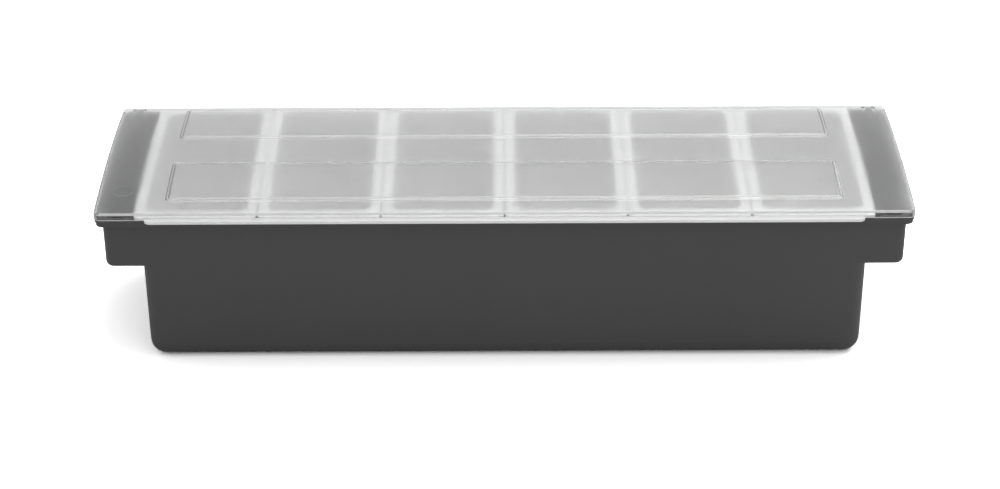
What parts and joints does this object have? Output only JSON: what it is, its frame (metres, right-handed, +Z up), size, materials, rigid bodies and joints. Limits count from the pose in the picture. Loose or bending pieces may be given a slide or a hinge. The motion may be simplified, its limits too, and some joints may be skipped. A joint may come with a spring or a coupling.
{
  "type": "condiment caddy",
  "caption": "Long bar-top condiment caddy: a dark stepped housing holds lift-out inserts side by side under one crowned frosted lid, hinged at the rear with a lip at the front.",
  "frame": {"origin": "middle of the bounding box's base, on the surface that the caddy stands on", "axes": "+X along the row of inserts to the right, +Y from the lip to the hinge, +Z up"},
  "size_m": [0.498, 0.1648, 0.1072],
  "materials": {
    "housing": "fine matte texture",
    "lid": "frosted, see-through",
    "insert": "satin",
    "pin": "drawn"
  },
  "bodies": {
    "housing": {"housing": "housing", "insert_1": "insert", "insert_2": "insert", "insert_3": "insert", "insert_4": "insert", "insert_5": "insert", "insert_6": "insert", "hinge_pin_left": "pin", "hinge_pin_right": "pin"},
    "lid": {"lid": "lid"}
  },
  "joints": [
    {"name": "lid_hinge", "type": "hinge", "parent": "housing", "child": "lid", "pos_m": [0, 0.0779, 0.09639], "axis": [-1, 0, 0], "range_deg": [0, 100]}
  ]
}
